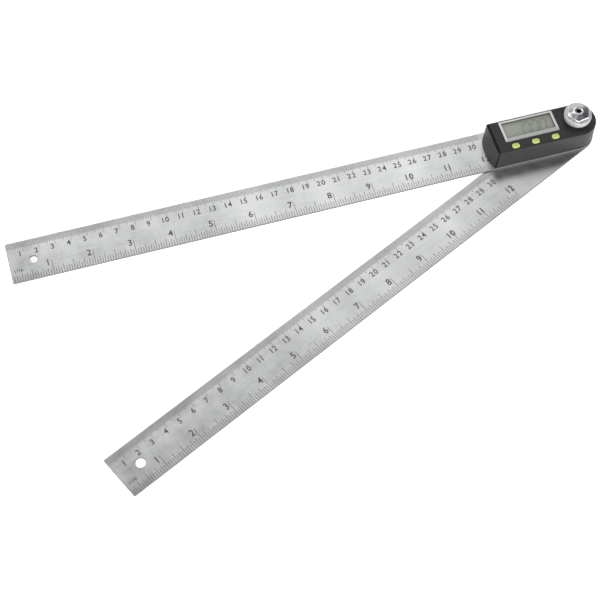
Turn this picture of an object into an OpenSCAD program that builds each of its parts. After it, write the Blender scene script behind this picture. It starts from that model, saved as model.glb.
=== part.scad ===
// Digital angle finder: two steel rulers on one pivot, a display housing and a lock knob.
// Millimetres. The origin is on the pivot axis, in the plane that the lower ruler lies on.
// The fixed ruler runs along -X and the moving ruler is turned from it by arm_angle.

/* [Rulers] */
// Pivot axis to the free end of each ruler
ruler_reach = 364; // [200:1:520]
// Width of each ruler
ruler_w = 28.5; // [27:0.1:36]
// Thickness of each ruler
ruler_t = 1.2; // [1:0.1:2]
// Ledge of the fixed ruler beside the housing, on its inch edge
ruler_ledge = 0.55; // [0.3:0.05:1.2]
// Length of the slanted cut at the pivot end, on the centimetre edge
end_cut = 8; // [3:0.5:12]
// Angle between the rulers at rest
arm_angle = 25; // [12:1:180]
// Free end to the middle of the hanging hole
hang_inset = 15; // [8:0.5:30]
// Inch edge to the middle of the hanging hole
hang_edge = 13.75; // [8:0.25:18]
// Hanging hole in the fixed ruler
fixed_hang_d = 5.2; // [3:0.1:8]
// Hanging hole in the moving ruler
moving_hang_d = 6.2; // [3:0.1:8]

/* [Pivot] */
// Gap between the rulers, filled by the thrust washer
arm_gap = 0.2; // [0.1:0.05:0.5]
// Radius of the thrust washer
thrust_r = 9.5; // [7:0.1:10]
// Radius of the shaft where it turns in the bush
barrel_r = 4.5; // [4:0.1:5]
// Radius of the riveted neck in the moving ruler
neck_r = 3.5; // [2.5:0.1:3.9]
// Radius of the riveted head, flush in the moving ruler
rivet_r = 4.8; // [4:0.1:6]
// Radius of the threaded stem under the knob
stem_r = 3; // [2:0.1:3.2]
// Running clearance all round the shaft and the stem
run_gap = 0.05; // [0.02:0.01:0.09]
// Radius of the bush in the fixed ruler
bush_r = 6; // [5.5:0.1:6.4]
// Radius of the bush flange
bush_flange_r = 7.5; // [6.8:0.1:8]
// Thickness of the bush flange
bush_flange_t = 0.8; // [0.5:0.1:1.2]
// Thickness of the wave washer as it is squeezed
wave_t = 0.28; // [0.2:0.02:0.4]
// Thickness of the retaining ring
ring_t = 0.6; // [0.4:0.1:0.8]
// Depth of the ring groove in the shaft
ring_depth = 0.6; // [0.4:0.1:0.8]
// Radius of the plastic hub that carries the encoder disc
rotor_hub_r = 5.2; // [4.8:0.1:6]
// Radius of the encoder disc
rotor_r = 8.8; // [7:0.1:9]
// Thickness of the encoder disc
rotor_t = 0.8; // [0.5:0.1:1]
// Air gap between the encoder disc and the circuit board
rotor_gap = 0.2; // [0.1:0.05:0.4]

/* [Housing] */
// Height of the housing above the fixed ruler
housing_h = 14.3; // [13.8:0.1:18]
// Gap between the battery cap and the housing's side walls
cap_wall_gap = 0.4; // [0.2:0.05:1]
// How far each side wall leans in towards its top
side_draft = 0.1; // [0.1:0.05:0.8]
// Pivot axis to the middle of the housing's round end
round_shift = 0.4; // [0:0.1:1.5]
// Bezel's end to the straight top edge at the other end, the tail
tail_margin = 7.35; // [6.6:0.05:12]
// How far that end bulges at its foot
tail_bulge = 3.5; // [1:0.1:6]
// Rounding of the top edge
edge_r = 0.5; // [0.2:0.1:0.8]
// Thickness of the side walls
wall_t = 1.2; // [0.9:0.05:1.3]
// Thickness of the roof
roof_t = 1.6; // [1.4:0.1:2]
// Radius of the raised ring under the knob
boss_r = 7; // [6:0.1:8]
// Height of that ring above the roof
boss_h = 1.2; // [0.4:0.1:2]
// Radius of the stiffening collar under the roof
collar_r = 5.6; // [5:0.1:6.5]
// Depth of the collar and its ribs under the roof
collar_h = 2.2; // [1:0.1:2.8]
// Thickness of the ribs
rib_t = 1; // [0.8:0.1:1.4]
// Gap round the stem where it passes the roof and the board
stem_gap = 0.4; // [0.2:0.05:0.8]
// Radius of the screw posts
post_r = 2.2; // [1.8:0.1:2.4]
// Side edge of the housing's top to the middle of a screw post
post_inset = 4.2; // [3.6:0.1:4.6]
// Tail's straight top edge to the screw posts there
far_post_inset = 4.1; // [3.8:0.05:4.4]
// Gap between the nearest button's lip and the screw posts by the pivot
near_post_gap = 0.5; // [0.3:0.05:0.8]
// Radius of the housing screws
screw_r = 1; // [0.8:0.05:1.1]
// Radius of the housing screws' countersunk heads
screw_head_r = 1.9; // [1.6:0.05:2.1]
// Length of the housing screws from the ruler's underside
screw_l = 7; // [5:0.5:10]

/* [Display] */
// Pivot axis to the middle of the bezel
bezel_x = 30.7; // [30.5:0.05:31.5]
// Bezel's length
bezel_l = 35.7; // [34:0.1:38]
// Bezel to the side edge of the housing's top
bezel_margin = 0.85; // [0.75:0.05:1.2]
// Width of the strip of roof that is kept for the buttons
button_strip = 7.75; // [7.5:0.05:8.5]
// Thickness of the bezel
bezel_t = 0.9; // [0.7:0.1:1.1]
// How far the bezel stands proud of the roof
bezel_proud = 0.1; // [0:0.05:0.3]
// Width of the bezel's rim at the tail
rim_tail = 1.55; // [1:0.05:3]
// Width of the bezel's rim at the pivot
rim_pivot = 1.55; // [1.5:0.05:3]
// Width of the bezel's rim along the side edge
rim_side = 1.4; // [1.35:0.05:2.5]
// Width of the bezel's rim along the buttons
rim_buttons = 2.8; // [1:0.05:3.5]
// Lip of the bezel over the window, all round
window_lip = 0.4; // [0.2:0.05:0.5]
// How far the liquid crystal panel reaches past the window at its two ends
panel_end = 0.7; // [0.4:0.1:0.7]
// How far the panel reaches past the window at its two sides
panel_edge = 0.5; // [0.3:0.05:0.55]
// Thickness of the liquid crystal panel
panel_t = 2; // [1.4:0.1:2.2]
// Width of each rubber contact strip under the panel
strip_w = 1.6; // [1:0.1:2]

/* [Buttons] */
// Middle button to the bezel's middle, towards the pivot
button_shift = 0.3; // [0:0.05:0.6]
// Bezel's ends to the outer buttons' middles
button_end = 4.65; // [4.5:0.05:8]
// Side edge of the housing's top to the buttons' middle line
button_inset = 3.65; // [3.5:0.05:3.8]
// Length of a button
button_l = 5.4; // [4:0.1:6]
// Width of a button
button_w = 3.7; // [3:0.1:3.8]
// Corner radius of a button
button_corner = 1.6; // [0.8:0.1:1.8]
// How far a button stands proud of the roof
button_proud = 0.7; // [0.6:0.1:1.2]
// How far a button goes in
button_travel = 0.5; // [0.2:0.05:0.6]
// Gap all round a button in the roof
button_gap = 0.1; // [0.08:0.01:0.15]
// Width of the retaining lips at a button's two ends
button_lip = 0.8; // [0.4:0.1:1.2]
// Thickness of those lips
button_lip_t = 0.8; // [0.6:0.1:1.2]
// Side of a key switch
switch_side = 4.5; // [4:0.1:4.8]
// Height of a key switch's body
switch_h = 1.6; // [1.5:0.1:1.8]
// Radius of a key switch's plunger
plunger_r = 1; // [0.8:0.1:1.2]
// How far the plunger stands out of the switch
plunger_out = 0.8; // [0.7:0.1:1]

/* [Board and battery] */
// Ruler's top face to the underside of the circuit board
board_lift = 7; // [6.8:0.1:7.4]
// Thickness of the circuit board
board_t = 1; // [0.8:0.1:1.2]
// Gap between the board and the walls
board_gap = 0.4; // [0.2:0.05:0.6]
// Side of the controller chip
chip_side = 6; // [4:0.5:8]
// Height of the controller chip
chip_h = 1.2; // [0.8:0.1:1.6]
// Gap between the encoder disc and the head of the board screw beside it
board_screw_gap = 1.6; // [0.6:0.1:1.7]
// Gap between that screw's head and the controller chip
chip_gap = 1.8; // [0.4:0.1:2.5]
// Radius of the coin cell
cell_r = 10; // [9:0.1:11]
// Thickness of the coin cell
cell_t = 3.2; // [2:0.1:3.2]
// Tail's straight top edge to the middle of the coin cell
cell_inset = 22.3; // [21.6:0.1:24.6]
// Gap round the coin cell in its tray
cell_gap = 0.15; // [0.1:0.05:0.2]
// Height of the battery tray
tray_h = 4; // [3.6:0.1:4.4]
// Wall of the tray at its two ends
tray_end = 2.2; // [2:0.1:2.6]
// Gap between the tray and the housing's walls
tray_gap = 0.1; // [0.05:0.05:0.3]
// How much larger the battery cap's radius is than the coin cell's
cap_margin = 0.6; // [0.2:0.1:1]
// Gap round the battery cap in the ruler
cap_gap = 0.1; // [0.05:0.05:0.2]
// How far the cap's two lugs reach over the ruler
lug_reach = 0.9; // [0.6:0.1:1]
// Half width of a lug, as an angle
lug_half = 14; // [8:1:14]
// Turn that frees the cap
cap_turn = 50; // [40:1:54]
// Length of the cap's coin slot
coin_slot_l = 14; // [8:0.5:18]
// Width of the cap's coin slot
coin_slot_w = 1.8; // [1.2:0.1:2.4]
// Depth of the cap's coin slot
coin_slot_t = 0.7; // [0.4:0.1:0.9]
// Thickness of the contact springs
leaf_t = 0.25; // [0.15:0.05:0.3]
// Width of the contact springs
leaf_w = 4; // [2:0.5:5]

/* [Knob] */
// Radius of the knob's round skirt
knob_r = 8.6; // [8:0.1:10]
// Thickness of the washer under the knob
knob_washer_t = 0.8; // [0.4:0.1:1.5]
// Height of the knob's bevelled underside
knob_bevel = 1.2; // [0.6:0.1:2]
// Height of the round skirt above the bevel
knob_skirt = 3.4; // [2:0.1:6]
// Ledge of the skirt outside the hexagon's corners
knob_ledge = 0.8; // [0.4:0.1:1.6]
// Height of the hexagon at its corners
knob_hex_h = 1.4; // [0.5:0.1:3]
// Rise of the cone on top
knob_cone_h = 1.6; // [0.8:0.1:3]
// Turn of the hexagon from the fixed ruler
knob_hex_turn = 8; // [0:1:59]
// Radius of the small hole in the knob's crown
knob_eye_r = 1.5; // [1:0.1:2]
// Radius of that hole's bevelled mouth
knob_mouth_r = 2.6; // [2.1:0.1:3.4]
// Thickness of the crown over the stem
knob_crown_t = 2.4; // [1.6:0.1:2.8]
// Gap between the stem's end and the crown
stem_end_gap = 0.4; // [0.2:0.1:1]

/* [Hidden] */
$fn = 72;
slack = 0.02;
proud_cut = 1;
root_h = 0.4;
cap_r = cell_r + cap_margin;
foot_half_w = cap_r + cap_wall_gap + wall_t;
top_half_w = foot_half_w - side_draft;
pivot_edge = foot_half_w + ruler_ledge;
tail_reach = bezel_x + bezel_l / 2 + tail_margin;
bezel_w = 2 * top_half_w - bezel_margin - button_strip;
bezel_y = top_half_w - bezel_margin - bezel_w / 2;
view_l = bezel_l - rim_tail - rim_pivot;
view_w = bezel_w - rim_side - rim_buttons;
window_x = bezel_x + (rim_pivot - rim_tail) / 2;
window_y = bezel_y + (rim_buttons - rim_side) / 2;
window_l = view_l + 2 * window_lip;
window_w = view_w + 2 * window_lip;
panel_l = window_l + 2 * panel_end;
panel_w = window_w + 2 * panel_edge;
button_x = bezel_x - button_shift;
button_pitch = bezel_l / 2 - button_end;
button_y = top_half_w - button_inset;
moving_top_z = ruler_t;
fixed_z = ruler_t + arm_gap;
deck_z = fixed_z + ruler_t;
roof_z = deck_z + housing_h;
ceiling_z = roof_z - roof_t;
board_z = deck_z + board_lift;
board_top_z = board_z + board_t;
flange_top_z = deck_z + bush_flange_t;
wave_z = flange_top_z + slack;
ring_z = wave_z + wave_t;
barrel_top_z = ring_z + ring_t + ring_depth;
rotor_top_z = board_z - rotor_gap;
rotor_z = rotor_top_z - rotor_t;
boss_top_z = roof_z + boss_h;
knob_z = boss_top_z + knob_washer_t;
skirt_z = knob_z + knob_bevel;
skirt_top_z = skirt_z + knob_skirt;
cone_z = skirt_top_z + knob_hex_h;
knob_top_z = cone_z + knob_cone_h;
crown_z = knob_top_z - knob_crown_t;
stem_top_z = crown_z - stem_end_gap;
window_z = ceiling_z;
bezel_z = roof_z + bezel_proud - bezel_t;
panel_z = ceiling_z - panel_t;
switch_top_z = board_top_z + switch_h;
switch_well_z = board_top_z + 0.2;
plunger_top_z = switch_top_z + plunger_out;
plunger_z = switch_well_z + button_travel + 0.1;
lip_z = ceiling_z - slack - button_lip_t;
cap_hole_r = cap_r + cap_gap;
lug_r = cap_hole_r + lug_reach;
lug_z = deck_z + slack;
lug_t = 0.6;
notch_ease = 2;
cell_x = tail_reach - cell_inset;
cell_z = lug_z + lug_t + 0.1;
cell_top_z = cell_z + cell_t;
spring_lift = 1.5;
spring_foot_z = cell_z + spring_lift;
screw_cone_h = screw_head_r - screw_r;
board_screw_r = 0.8;
board_screw_head_r = 1.5;
board_screw_head_t = 0.7;
board_screw_l = 3;
board_boss_r = 1.7;
far_post_x = tail_reach - far_post_inset;
near_post_x = button_x - button_pitch - button_l / 2 - button_lip - near_post_gap - post_r;
near_screw_x = rotor_r + board_screw_gap + board_screw_head_r;
board_screws_x = [far_post_x, near_screw_x];
chip_x = near_screw_x + board_screw_head_r + chip_gap + chip_side / 2;
post_y = top_half_w - post_inset;
knob_hex_r = knob_r - knob_ledge;
posts = [for (x = [near_post_x, far_post_x]) for (y = [-post_y, post_y]) [-x, y]];
round_steps = 40;
tail_steps = 16;

// Share of the housing's height at a level, 0 at its foot and 1 at its top
function level(z) = (z - deck_z) / housing_h;

// Half width of the housing at a share of its height
function half_w(t) = foot_half_w + (top_half_w - foot_half_w) * t;

// Outline of the housing: a half circle round the pivot end, and a tail that is straight
// at the top and a flat half ellipse at the foot
function housing_outline(t, inset) =
    let (r = half_w(t) - inset, bulge = tail_bulge * (1 - t))
    concat(
        [for (i = [0:round_steps])
            let (a = -90 + 180 * i / round_steps)
            [round_shift + r * cos(a), r * sin(a)]],
        [for (i = [0:tail_steps])
            let (a = 180 * i / tail_steps)
            [inset - tail_reach - bulge * sin(a), r * cos(a)]]
    );

// Outline of a flat piece inside the walls, with a straight tail
function inner_outline(z, gap) =
    let (r = half_w(level(z)) - wall_t - gap, x = tail_reach - wall_t - gap)
    concat(
        [for (i = [0:round_steps])
            let (a = -90 + 180 * i / round_steps)
            [round_shift + r * cos(a), r * sin(a)]],
        [[-x, r], [-x, -r]]
    );

// Point where a tangent from p touches a circle of radius r round the origin, clockwise side
function tangent_point(p, r) =
    let (a = atan2(p.y, p.x) - acos(r / norm(p)))
    [r * cos(a), r * sin(a)];

module disc(r, z, h) {
    translate([0, 0, z]) cylinder(r = r, h = h);
}

module ring(outer, inner, z, h) {
    difference() {
        disc(outer, z, h);
        disc(inner, z - proud_cut, h + 2 * proud_cut);
    }
}

module block(x, y, z, l, w, h) {
    translate([x - l / 2, y - w / 2, z]) cube([l, w, h]);
}

// Block with four round upright corners
module round_block(l, w, h, r) {
    block(0, 0, 0, l - 2 * r, w, h);
    block(0, 0, 0, l, w - 2 * r, h);
    for (x = [-1, 1]) {
        for (y = [-1, 1]) {
            translate([x * (l / 2 - r), y * (w / 2 - r), 0]) cylinder(r = r, h = h, $fn = 40);
        }
    }
}

// Thin slice of the housing's outline, for the hull that gives the walls their draft
module outline_slice(t, inset, z) {
    translate([0, 0, z]) linear_extrude(height = slack) polygon(housing_outline(t, inset));
}

// Ruler's flat outline: parallel edges, square free end, round pivot end
module ruler_outline() {
    far_edge = ruler_w - pivot_edge;
    cut_start = [-end_cut, far_edge];
    translate([-ruler_reach, -pivot_edge]) square([ruler_reach - end_cut, ruler_w]);
    polygon([
        [-end_cut - proud_cut, -pivot_edge], [0, -pivot_edge], [0, 0],
        tangent_point(cut_start, pivot_edge), cut_start, [-end_cut - proud_cut, far_edge]
    ]);
    circle(r = pivot_edge, $fn = 120);
}

module ruler_blank(hang_d) {
    linear_extrude(height = ruler_t) difference() {
        ruler_outline();
        translate([hang_inset - ruler_reach, hang_edge - pivot_edge]) circle(d = hang_d);
    }
}

// Screw with a countersunk head, pointing up from the fixed ruler's underside
module countersunk_screw(clear) {
    translate([0, 0, fixed_z]) {
        cylinder(r1 = screw_head_r + clear, r2 = screw_r + clear, h = screw_cone_h);
        cylinder(r = screw_r + clear, h = screw_l + clear);
    }
}

// Two opposite sectors out to a radius: the battery cap's lugs, or the notches that free them
module cap_lugs(outer, extra, h) {
    for (side = [0, 180]) {
        rotate([0, 0, side - lug_half - extra]) rotate_extrude(angle = 2 * (lug_half + extra))
            translate([cap_r - proud_cut, 0]) square([outer - cap_r + proud_cut, h]);
    }
}

module fixed_ruler() {
    color([0.72, 0.73, 0.74]) translate([0, 0, fixed_z]) difference() {
        ruler_blank(fixed_hang_d);
        disc(bush_r + slack, -proud_cut, ruler_t + 2 * proud_cut);
        translate([-cell_x, 0, 0]) {
            disc(cap_hole_r, -proud_cut, ruler_t + 2 * proud_cut);
            translate([0, 0, -proud_cut]) rotate([0, 0, cap_turn])
                cap_lugs(lug_r + cap_gap, notch_ease, ruler_t + 2 * proud_cut);
        }
        translate([0, 0, -fixed_z]) for (p = posts) {
            translate([p.x, p.y, 0]) countersunk_screw(slack);
        }
    }
}

module moving_ruler() {
    color([0.70, 0.71, 0.72]) rotate([0, 0, arm_angle]) difference() {
        ruler_blank(moving_hang_d);
        translate([0, 0, -slack]) cylinder(r1 = rivet_r + slack, r2 = neck_r, h = ruler_t / 2 + slack);
        disc(neck_r, -proud_cut, ruler_t + 2 * proud_cut);
    }
}

module pivot_shaft() {
    color([0.62, 0.63, 0.65]) rotate([0, 0, arm_angle]) union() {
        cylinder(r1 = rivet_r, r2 = neck_r, h = ruler_t / 2);
        disc(neck_r, 0, ruler_t);
        difference() {
            disc(barrel_r, moving_top_z, barrel_top_z - moving_top_z);
            ring(barrel_r + proud_cut, barrel_r - ring_depth, ring_z, ring_t);
        }
        disc(stem_r, barrel_top_z, stem_top_z - barrel_top_z);
    }
}

module pivot_bush() {
    color([0.78, 0.62, 0.30]) difference() {
        union() {
            disc(bush_r, fixed_z, ruler_t);
            disc(bush_flange_r, deck_z, bush_flange_t);
        }
        disc(barrel_r + run_gap, fixed_z - proud_cut, ruler_t + bush_flange_t + 2 * proud_cut);
    }
}

module thrust_washer() {
    color([0.90, 0.90, 0.86]) ring(thrust_r, barrel_r + run_gap, moving_top_z, arm_gap);
}

module wave_washer() {
    wave_inset = 0.4;
    color([0.60, 0.61, 0.63]) ring(bush_flange_r - wave_inset, barrel_r + run_gap, wave_z, wave_t);
}

module retaining_ring() {
    gap_w = 2.4;
    ring_inset = 0.8;
    color([0.30, 0.30, 0.32]) rotate([0, 0, arm_angle]) difference() {
        ring(bush_flange_r - ring_inset, barrel_r - ring_depth, ring_z, ring_t);
        block(0, bush_flange_r / 2, ring_z - proud_cut, gap_w, bush_flange_r, ring_t + 2 * proud_cut);
    }
}

module encoder_hub() {
    color([0.88, 0.88, 0.84]) rotate([0, 0, arm_angle]) difference() {
        disc(rotor_hub_r, barrel_top_z, rotor_z - barrel_top_z);
        disc(stem_r, barrel_top_z - proud_cut, rotor_z - barrel_top_z + 2 * proud_cut);
    }
}

module encoder_disc() {
    pad_count = 12;
    pad_hole_r = 0.6;
    pad_inset = 2;
    color([0.16, 0.42, 0.24]) rotate([0, 0, arm_angle]) difference() {
        disc(rotor_r, rotor_z, rotor_t);
        disc(stem_r, rotor_z - proud_cut, rotor_t + 2 * proud_cut);
        for (i = [0:pad_count - 1]) {
            rotate([0, 0, 360 * i / pad_count]) translate([rotor_r - pad_inset, 0, 0])
                cylinder(r = pad_hole_r, h = rotor_z + rotor_t + proud_cut, $fn = 24);
        }
    }
}

module housing_shell() {
    difference() {
        hull() {
            outline_slice(0, 0, deck_z);
            outline_slice(level(roof_z - edge_r), 0, roof_z - edge_r);
            outline_slice(level(roof_z - edge_r), edge_r * 0.3, roof_z - edge_r * 0.3);
            outline_slice(1, edge_r, roof_z - slack);
        }
        hull() {
            outline_slice(0, wall_t, deck_z - proud_cut);
            outline_slice(level(ceiling_z), wall_t, ceiling_z - slack);
        }
    }
}

// Collar and ribs under the roof, which pass the knob's clamping load to the round wall
module knob_collar() {
    h = collar_h + root_h;
    disc(collar_r, ceiling_z - collar_h, h);
    translate([round_shift, 0, ceiling_z - collar_h]) {
        for (a = [-90 : 45 : 90]) {
            rotate([0, 0, a]) translate([0, -rib_t / 2, 0]) cube([top_half_w - wall_t / 2, rib_t, h]);
        }
    }
    block(-near_screw_x / 2, 0, ceiling_z - collar_h, near_screw_x, rib_t, h);
}

module top_housing() {
    color([0.13, 0.13, 0.13]) difference() {
        union() {
            housing_shell();
            disc(boss_r, roof_z - root_h, boss_h + root_h);
            knob_collar();
            for (p = posts) {
                translate([p.x, p.y, 0]) disc(post_r, deck_z, ceiling_z - deck_z + root_h);
            }
            for (x = board_screws_x) {
                translate([-x, 0, 0]) disc(board_boss_r, board_top_z, ceiling_z - board_top_z + root_h);
            }
        }
        disc(stem_r + stem_gap, ceiling_z - collar_h - proud_cut, 3 * proud_cut + collar_h + roof_t + boss_h);
        block(-bezel_x, bezel_y, bezel_z, bezel_l + 2 * slack, bezel_w + 2 * slack, bezel_t + proud_cut);
        block(-window_x, window_y, panel_z, window_l + 2 * slack, window_w + 2 * slack, panel_t + roof_t);
        block(-window_x, window_y, board_top_z, panel_l + 2 * slack, panel_w + 2 * slack,
            ceiling_z - board_top_z);
        for (i = [-1, 0, 1]) {
            translate([button_pitch * i - button_x, -button_y, ceiling_z - proud_cut])
                round_block(button_l + 2 * button_gap, button_w + 2 * button_gap, roof_t + 2 * proud_cut,
                    button_corner + button_gap);
        }
        for (p = posts) {
            translate([p.x, p.y, 0]) countersunk_screw(slack);
        }
        for (x = board_screws_x) {
            translate([-x, 0, 0]) disc(board_screw_r + slack, board_z, board_screw_l + slack);
        }
    }
}

module display_bezel() {
    color([0.74, 0.75, 0.74]) difference() {
        block(-bezel_x, bezel_y, bezel_z, bezel_l, bezel_w, bezel_t);
        block(-window_x, window_y, bezel_z - proud_cut, view_l, view_w, bezel_t + 2 * proud_cut);
    }
}

module display_window() {
    color([0.75, 0.80, 0.76, 0.5])
        block(-window_x, window_y, window_z, window_l, window_w, bezel_z - window_z);
}

module lcd_panel() {
    color([0.60, 0.64, 0.58]) block(-window_x, window_y, panel_z, panel_l, panel_w, panel_t);
}

module lcd_contact_strips() {
    inset = 0.2;
    end_inset = 1;
    color([0.85, 0.55, 0.60]) for (side = [-1, 1]) {
        block(-window_x, window_y + side * (panel_w / 2 - strip_w / 2 - inset), board_top_z,
            panel_l - 2 * end_inset, strip_w, panel_z - board_top_z);
    }
}

module circuit_board() {
    post_gap = 0.2;
    screw_gap = 0.1;
    color([0.10, 0.36, 0.20]) difference() {
        translate([0, 0, board_z]) linear_extrude(height = board_t)
            polygon(inner_outline(board_top_z, board_gap));
        disc(stem_r + stem_gap, board_z - proud_cut, board_t + 2 * proud_cut);
        for (p = posts) {
            translate([p.x, p.y, 0]) disc(post_r + post_gap, board_z - proud_cut, board_t + 2 * proud_cut);
        }
        for (x = board_screws_x) {
            translate([-x, 0, 0])
                disc(board_screw_r + screw_gap, board_z - proud_cut, board_t + 2 * proud_cut);
        }
    }
}

module controller_chip() {
    chip_y = 1;
    color([0.10, 0.10, 0.11])
        block(-chip_x, chip_y, board_z - chip_h, chip_side, chip_side, chip_h);
}

module switch_bodies() {
    switch_w = switch_side - 0.6;
    color([0.20, 0.20, 0.21]) for (i = [-1, 0, 1]) {
        translate([button_pitch * i - button_x, -button_y, 0]) difference() {
            block(0, (switch_side - button_w) / 4, board_top_z, switch_side, switch_w, switch_h);
            disc(plunger_r + run_gap, switch_well_z, switch_h + proud_cut);
        }
    }
}

module switch_plunger(i) {
    color([0.85, 0.83, 0.78]) translate([button_pitch * i - button_x, -button_y, 0])
        disc(plunger_r, plunger_z, plunger_top_z - plunger_z);
}

module switch_plunger_left() {
    switch_plunger(-1);
}

module switch_plunger_middle() {
    switch_plunger(0);
}

module switch_plunger_right() {
    switch_plunger(1);
}

// Key cap: a crowned key, two lips that hold it under the roof, and a stem to the switch
module button_cap(i) {
    crown_r = 12;
    lip_w = button_w - 0.6;
    top_z = roof_z + button_proud;
    color([0.78, 0.84, 0.22]) translate([button_pitch * i - button_x, -button_y, 0]) {
        intersection() {
            translate([0, 0, lip_z]) round_block(button_l, button_w, top_z - lip_z, button_corner);
            translate([0, 0, top_z - crown_r]) sphere(r = crown_r, $fn = 96);
        }
        block(0, 0, lip_z, button_l + 2 * button_lip, lip_w, button_lip_t);
        disc(plunger_r, plunger_top_z, lip_z - plunger_top_z);
    }
}

module button_left() {
    button_cap(-1);
}

module button_middle() {
    button_cap(0);
}

module button_right() {
    button_cap(1);
}

// Coin cell: the can and the narrower lid on its upper face
module battery_cell() {
    lid_t = 0.4;
    lid_inset = 1.2;
    color([0.75, 0.76, 0.78]) translate([-cell_x, 0, 0]) {
        disc(cell_r, cell_z, cell_t - lid_t);
        disc(cell_r - lid_inset, cell_top_z - lid_t, lid_t);
    }
}

// Tray that holds the coin cell over the round opening in the ruler, with a slot for the side spring
module battery_tray() {
    slot_l = 2.4;
    l = 2 * (cell_r + cell_gap + tray_end);
    half = half_w(level(deck_z + tray_h)) - wall_t - tray_gap;
    color([0.18, 0.18, 0.19]) translate([-cell_x, 0, 0]) difference() {
        block(0, 0, deck_z, l, 2 * half, tray_h);
        disc(cell_r + cell_gap, deck_z - proud_cut, tray_h + 2 * proud_cut);
        disc(lug_r + cap_gap, deck_z - proud_cut, cell_z - deck_z + proud_cut);
        block(-cell_r, 0, spring_foot_z - 0.2, slot_l, leaf_w + 0.4, tray_h);
    }
}

// Cap with two bayonet lugs over the ruler and a coin slot below
module battery_cap() {
    color([0.16, 0.16, 0.17]) translate([-cell_x, 0, 0]) difference() {
        union() {
            disc(cap_r, fixed_z, lug_z + lug_t - fixed_z);
            translate([0, 0, lug_z]) cap_lugs(lug_r, 0, lug_t);
        }
        block(0, 0, fixed_z - proud_cut, coin_slot_l, coin_slot_w, coin_slot_t + proud_cut);
    }
}

// Spring that touches the side of the can, with a foot soldered to the board
module contact_positive() {
    foot_l = 2;
    x = cell_x + cell_r + 0.05;
    color([0.80, 0.70, 0.40]) translate([-x, 0, 0]) {
        block(-leaf_t / 2, 0, spring_foot_z, leaf_t, leaf_w, board_z - leaf_t - spring_foot_z);
        block(-foot_l / 2, 0, board_z - leaf_t, foot_l, leaf_w, leaf_t);
    }
}

// Spring bent down from the board to the lid of the cell
module contact_negative() {
    run = 6;
    pad_l = 3;
    flat = 1;
    tip = 2;
    tip_z = cell_top_z + (board_z - cell_top_z) / 5;
    color([0.80, 0.70, 0.40]) translate([-cell_x - run / 2, leaf_w / 2, 0]) rotate([90, 0, 0])
        linear_extrude(height = leaf_w)
        polygon([
            [-pad_l, board_z], [-pad_l, board_z - leaf_t], [-leaf_t, board_z - leaf_t],
            [run - flat, cell_top_z], [run + flat, cell_top_z], [run + tip, tip_z],
            [run + tip, tip_z + leaf_t], [run + flat, cell_top_z + leaf_t],
            [run - flat, cell_top_z + leaf_t], [0, board_z]
        ]);
}

module knob_washer() {
    inset = 0.2;
    color([0.08, 0.08, 0.08]) ring(boss_r - inset, stem_r + stem_gap, boss_top_z, knob_washer_t);
}

// Knob: a round skirt, a hexagon cut by a cone, and a small bevelled hole in the crown
module lock_knob() {
    hex_l = knob_hex_h + knob_cone_h;
    color([0.80, 0.81, 0.83]) difference() {
        union() {
            translate([0, 0, knob_z])
                cylinder(r1 = knob_r - knob_bevel, r2 = knob_r, h = knob_bevel);
            disc(knob_r, skirt_z, knob_skirt);
            intersection() {
                rotate([0, 0, knob_hex_turn]) translate([0, 0, skirt_top_z])
                    cylinder(r = knob_hex_r, h = hex_l, $fn = 6);
                union() {
                    disc(knob_hex_r, skirt_top_z, knob_hex_h);
                    translate([0, 0, cone_z])
                        cylinder(r1 = knob_hex_r, r2 = knob_mouth_r, h = knob_cone_h);
                }
            }
        }
        disc(stem_r + run_gap, knob_z - proud_cut, crown_z - knob_z + proud_cut);
        disc(knob_eye_r, crown_z - proud_cut, knob_crown_t + 2 * proud_cut);
        translate([0, 0, knob_top_z - (knob_mouth_r - knob_eye_r)])
            cylinder(r1 = knob_eye_r, r2 = knob_mouth_r, h = knob_mouth_r - knob_eye_r + slack);
    }
}

module housing_screws() {
    drive_l = 1.8;
    drive_w = 0.4;
    drive_depth = 0.5;
    color([0.25, 0.25, 0.27]) for (p = posts) {
        translate([p.x, p.y, 0]) difference() {
            countersunk_screw(0);
            block(0, 0, fixed_z - proud_cut, drive_l, drive_w, proud_cut + drive_depth);
            block(0, 0, fixed_z - proud_cut, drive_w, drive_l, proud_cut + drive_depth);
        }
    }
}

module board_screws() {
    color([0.60, 0.60, 0.62]) for (x = board_screws_x) {
        translate([-x, 0, 0]) {
            disc(board_screw_head_r, board_z - board_screw_head_t, board_screw_head_t);
            disc(board_screw_r, board_z, board_screw_l);
        }
    }
}

fixed_ruler();
moving_ruler();
top_housing();
battery_tray();
display_bezel();
display_window();
lcd_panel();
lcd_contact_strips();
circuit_board();
controller_chip();
switch_bodies();
switch_plunger_left();
switch_plunger_middle();
switch_plunger_right();
button_left();
button_middle();
button_right();
battery_cell();
contact_positive();
contact_negative();
battery_cap();
encoder_disc();
encoder_hub();
pivot_shaft();
pivot_bush();
thrust_washer();
wave_washer();
retaining_ring();
knob_washer();
lock_knob();
housing_screws();
board_screws();
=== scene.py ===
import math

import bpy
import numpy as np
from bpy.props import FloatProperty, FloatVectorProperty, PointerProperty
from mathutils import Matrix, Vector
from mathutils.geometry import tessellate_polygon


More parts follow.
